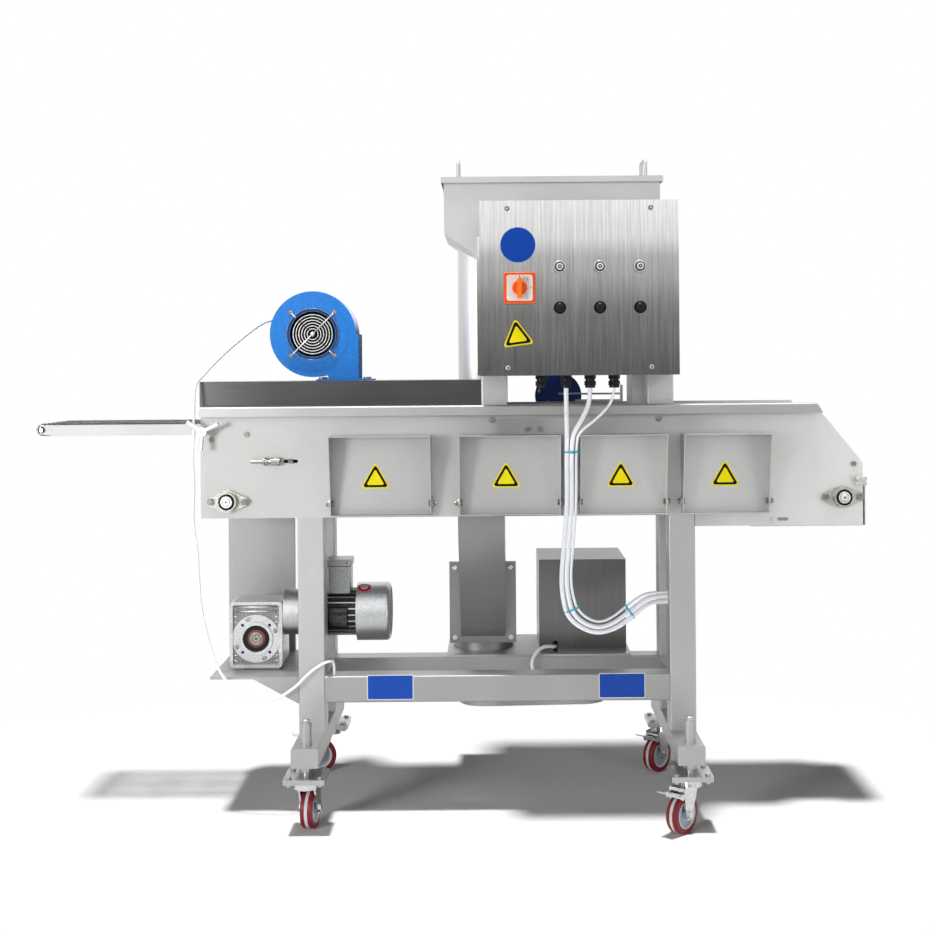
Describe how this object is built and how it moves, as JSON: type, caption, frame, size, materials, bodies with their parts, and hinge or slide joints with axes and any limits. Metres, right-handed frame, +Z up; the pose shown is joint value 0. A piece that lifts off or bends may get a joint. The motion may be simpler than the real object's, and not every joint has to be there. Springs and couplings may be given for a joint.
{
  "type": "breading machine",
  "caption": "Crumb breading machine on casters: mesh conveyor with a raised nose, crumb hopper fed by an auger elevator, blow-off fan, hinged doors and a control box",
  "frame": {"origin": "on the floor under the middle of the machine's overall length and depth", "axes": "+X along the belt towards the infeed end, +Y from the operator's side to the back, +Z up"},
  "size_m": [2.2068, 0.7713, 1.7763],
  "materials": {
    "body_sheet": "brushed",
    "box_sheet": "brushed",
    "frame_tube": "satin",
    "belt_mesh": "satin",
    "fastener_steel": "polished",
    "cast_bearing": "cast",
    "cast_aluminium": "cast",
    "blower_blue": "gloss",
    "wheel_red": "satin",
    "black_plastic": "gloss",
    "button_plastic": "gloss",
    "switch_orange": "gloss",
    "cable_grey": "matte",
    "lens_white": "gloss"
  },
  "bodies": {
    "base": {"frame": "frame_tube", "front_side_plate": "body_sheet", "rear_side_plate": "body_sheet", "conveyor_bed": "body_sheet", "blow_off_hood": "body_sheet", "mesh_belt": "belt_mesh", "bearing_housings": "cast_bearing", "control_box": "box_sheet", "control_cover": "box_sheet", "control_fittings": "black_plastic", "hopper_and_feeder": "body_sheet", "elevator_tube": "body_sheet", "elevator_drive": "body_sheet", "motor_cover": "box_sheet", "gearmotor": "cast_aluminium", "blower_housing": "blower_blue", "drive_bracket": "body_sheet", "fasteners": "fastener_steel", "panel_cable_1": "cable_grey", "panel_cable_2": "cable_grey", "panel_cable_3": "cable_grey", "blower_cable": "cable_grey", "drive_cable": "cable_grey"},
    "drive_shaft": {"drive_shaft": "fastener_steel"},
    "tail_shaft": {"tail_shaft": "fastener_steel"},
    "nose_roller": {"nose_roller": "fastener_steel"},
    "gearbox_shaft": {"gearbox_shaft": "fastener_steel"},
    "blower_impeller": {"blower_impeller": "black_plastic"},
    "elevator_auger": {"elevator_auger": "body_sheet"},
    "door_1": {"door_1": "body_sheet"},
    "door_2": {"door_2": "body_sheet"},
    "door_3": {"door_3": "body_sheet"},
    "door_4": {"door_4": "body_sheet"},
    "hopper_lid": {"hopper_lid": "body_sheet"},
    "jack_front_left": {"jack_front_left": "frame_tube"},
    "caster_fork_front_left": {"caster_fork_front_left": "fastener_steel"},
    "caster_wheel_front_left": {"caster_wheel_front_left": "wheel_red"},
    "brake_pedal_front_left": {"brake_pedal_front_left": "fastener_steel"},
    "jack_front_right": {"jack_front_right": "frame_tube"},
    "caster_fork_front_right": {"caster_fork_front_right": "fastener_steel"},
    "caster_wheel_front_right": {"caster_wheel_front_right": "wheel_red"},
    "brake_pedal_front_right": {"brake_pedal_front_right": "fastener_steel"},
    "jack_rear_left": {"jack_rear_left": "frame_tube"},
    "caster_fork_rear_left": {"caster_fork_rear_left": "fastener_steel"},
    "caster_wheel_rear_left": {"caster_wheel_rear_left": "wheel_red"},
    "brake_pedal_rear_left": {"brake_pedal_rear_left": "fastener_steel"},
    "jack_rear_right": {"jack_rear_right": "frame_tube"},
    "caster_fork_rear_right": {"caster_fork_rear_right": "fastener_steel"},
    "caster_wheel_rear_right": {"caster_wheel_rear_right": "wheel_red"},
    "brake_pedal_rear_right": {"brake_pedal_rear_right": "fastener_steel"},
    "button_1": {"button_1": "lens_white"},
    "button_2": {"button_2": "lens_white"},
    "button_3": {"button_3": "lens_white"},
    "button_4": {"button_4": "button_plastic"},
    "button_5": {"button_5": "button_plastic"},
    "button_6": {"button_6": "button_plastic"},
    "switch_knob": {"switch_knob": "switch_orange"},
    "clamp_handle": {"clamp_handle": "fastener_steel"},
    "end_tray": {"end_tray": "body_sheet"},
    "tray_knob": {"tray_knob": "black_plastic"}
  },
  "joints": [
    {"name": "drive_shaft_spin", "type": "hinge", "parent": "base", "child": "drive_shaft", "pos_m": [-0.588, 0, 0.838], "axis": [0, 1, 0], "continuous": true},
    {"name": "tail_shaft_spin", "type": "hinge", "parent": "base", "child": "tail_shaft", "pos_m": [1.039, 0, 0.838], "axis": [0, 1, 0], "continuous": true},
    {"name": "nose_roller_spin", "type": "hinge", "parent": "base", "child": "nose_roller", "pos_m": [-1.089, 0, 1.03], "axis": [0, 1, 0], "continuous": true},
    {"name": "gearbox_shaft_spin", "type": "hinge", "parent": "base", "child": "gearbox_shaft", "pos_m": [-0.533, 0, 0.455], "axis": [0, 1, 0], "continuous": true},
    {"name": "blower_spin", "type": "hinge", "parent": "base", "child": "blower_impeller", "pos_m": [-0.374, 0, 1.282], "axis": [0, 1, 0], "continuous": true},
    {"name": "auger_spin", "type": "hinge", "parent": "base", "child": "elevator_auger", "pos_m": [0.082, 0.24, 1], "axis": [0, 0, 1], "continuous": true},
    {"name": "door_1_hinge", "type": "hinge", "parent": "base", "child": "door_1", "pos_m": [-0.181, -0.158, 0.831], "axis": [1, 0, 0], "range_deg": [0, 80]},
    {"name": "door_2_hinge", "type": "hinge", "parent": "base", "child": "door_2", "pos_m": [0.159, -0.158, 0.831], "axis": [1, 0, 0], "range_deg": [0, 80]},
    {"name": "door_3_hinge", "type": "hinge", "parent": "base", "child": "door_3", "pos_m": [0.457, -0.158, 0.831], "axis": [1, 0, 0], "range_deg": [0, 80]},
    {"name": "door_4_hinge", "type": "hinge", "parent": "base", "child": "door_4", "pos_m": [0.727, -0.158, 0.831], "axis": [1, 0, 0], "range_deg": [0, 80]},
    {"name": "hopper_lid_lift", "type": "slide", "parent": "base", "child": "hopper_lid", "axis": [0, 0, 1], "range_m": [0, 0.15]},
    {"name": "jack_front_left_lift", "type": "slide", "parent": "base", "child": "jack_front_left", "axis": [0, 0, 1], "range_m": [-0.05, 0]},
    {"name": "caster_front_left_swivel", "type": "hinge", "parent": "jack_front_left", "child": "caster_fork_front_left", "pos_m": [-0.37, -0.262, 0.127], "axis": [0, 0, 1], "continuous": true},
    {"name": "caster_front_left_roll", "type": "hinge", "parent": "caster_fork_front_left", "child": "caster_wheel_front_left", "pos_m": [-0.36471, -0.22437, 0.05], "axis": [-0.9903, 0.1392, 0], "continuous": true},
    {"name": "brake_front_left_press", "type": "hinge", "parent": "caster_fork_front_left", "child": "brake_pedal_front_left", "pos_m": [-0.36081, -0.19664, 0.1], "axis": [-0.9903, 0.1392, 0], "range_deg": [0, 12]},
    {"name": "jack_front_right_lift", "type": "slide", "parent": "base", "child": "jack_front_right", "axis": [0, 0, 1], "range_m": [-0.05, 0]},
    {"name": "caster_front_right_swivel", "type": "hinge", "parent": "jack_front_right", "child": "caster_fork_front_right", "pos_m": [0.614, -0.262, 0.127], "axis": [0, 0, 1], "continuous": true},
    {"name": "caster_front_right_roll", "type": "hinge", "parent": "caster_fork_front_right", "child": "caster_wheel_front_right", "pos_m": [0.58857, -0.29024, 0.05], "axis": [0.7431, -0.6691, 0], "continuous": true},
    {"name": "brake_front_right_press", "type": "hinge", "parent": "caster_fork_front_right", "child": "brake_pedal_front_right", "pos_m": [0.56984, -0.31105, 0.1], "axis": [0.7431, -0.6691, 0], "range_deg": [0, 12]},
    {"name": "jack_rear_left_lift", "type": "slide", "parent": "base", "child": "jack_rear_left", "axis": [0, 0, 1], "range_m": [-0.05, 0]},
    {"name": "caster_rear_left_swivel", "type": "hinge", "parent": "jack_rear_left", "child": "caster_fork_rear_left", "pos_m": [-0.37, 0.285, 0.127], "axis": [0, 0, 1], "continuous": true},
    {"name": "caster_rear_left_roll", "type": "hinge", "parent": "caster_fork_rear_left", "child": "caster_wheel_rear_left", "pos_m": [-0.40593, 0.27263, 0.05], "axis": [0.3256, -0.9455, 0], "continuous": true},
    {"name": "brake_rear_left_press", "type": "hinge", "parent": "caster_fork_rear_left", "child": "brake_pedal_rear_left", "pos_m": [-0.4324, 0.26351, 0.1], "axis": [0.3256, -0.9455, 0], "range_deg": [0, 12]},
    {"name": "jack_rear_right_lift", "type": "slide", "parent": "base", "child": "jack_rear_right", "axis": [0, 0, 1], "range_m": [-0.05, 0]},
    {"name": "caster_rear_right_swivel", "type": "hinge", "parent": "jack_rear_right", "child": "caster_fork_rear_right", "pos_m": [0.614, 0.285, 0.127], "axis": [0, 0, 1], "continuous": true},
    {"name": "caster_rear_right_roll", "type": "hinge", "parent": "caster_fork_rear_right", "child": "caster_wheel_rear_right", "pos_m": [0.58857, 0.25676, 0.05], "axis": [0.7431, -0.6691, 0], "continuous": true},
    {"name": "brake_rear_right_press", "type": "hinge", "parent": "caster_fork_rear_right", "child": "brake_pedal_rear_right", "pos_m": [0.56984, 0.23595, 0.1], "axis": [0.7431, -0.6691, 0], "range_deg": [0, 12]},
    {"name": "button_1_press", "type": "slide", "parent": "base", "child": "button_1", "axis": [0, 1, 0], "range_m": [0, 0.004], "stiffness_N_per_m": 400, "springref_m": -0.002},
    {"name": "button_2_press", "type": "slide", "parent": "base", "child": "button_2", "axis": [0, 1, 0], "range_m": [0, 0.004], "stiffness_N_per_m": 400, "springref_m": -0.002},
    {"name": "button_3_press", "type": "slide", "parent": "base", "child": "button_3", "axis": [0, 1, 0], "range_m": [0, 0.004], "stiffness_N_per_m": 400, "springref_m": -0.002},
    {"name": "button_4_press", "type": "slide", "parent": "base", "child": "button_4", "axis": [0, 1, 0], "range_m": [0, 0.004], "stiffness_N_per_m": 400, "springref_m": -0.002},
    {"name": "button_5_press", "type": "slide", "parent": "base", "child": "button_5", "axis": [0, 1, 0], "range_m": [0, 0.004], "stiffness_N_per_m": 400, "springref_m": -0.002},
    {"name": "button_6_press", "type": "slide", "parent": "base", "child": "button_6", "axis": [0, 1, 0], "range_m": [0, 0.004], "stiffness_N_per_m": 400, "springref_m": -0.002},
    {"name": "switch_knob_turn", "type": "hinge", "parent": "base", "child": "switch_knob", "pos_m": [0.185, -0.36, 1.386], "axis": [0, 1, 0], "range_deg": [0, 90]},
    {"name": "clamp_handle_turn", "type": "hinge", "parent": "base", "child": "clamp_handle", "pos_m": [-0.647, -0.18, 1.024], "axis": [0, 1, 0], "range_deg": [-180, 0]},
    {"name": "end_tray_slide", "type": "slide", "parent": "base", "child": "end_tray", "axis": [1, 0, 0], "range_m": [0, 0.034]},
    {"name": "tray_knob_turn", "type": "hinge", "parent": "end_tray", "child": "tray_knob", "pos_m": [1.087, -0.155, 0.88], "axis": [0, 1, 0], "range_deg": [-180, 0]}
  ],
  "couplings": [
    {"joint": "tail_shaft_spin", "follows": "drive_shaft_spin", "ratio": 1},
    {"joint": "nose_roller_spin", "follows": "drive_shaft_spin", "ratio": 2.4527},
    {"joint": "gearbox_shaft_spin", "follows": "drive_shaft_spin", "ratio": 1.3333}
  ]
}
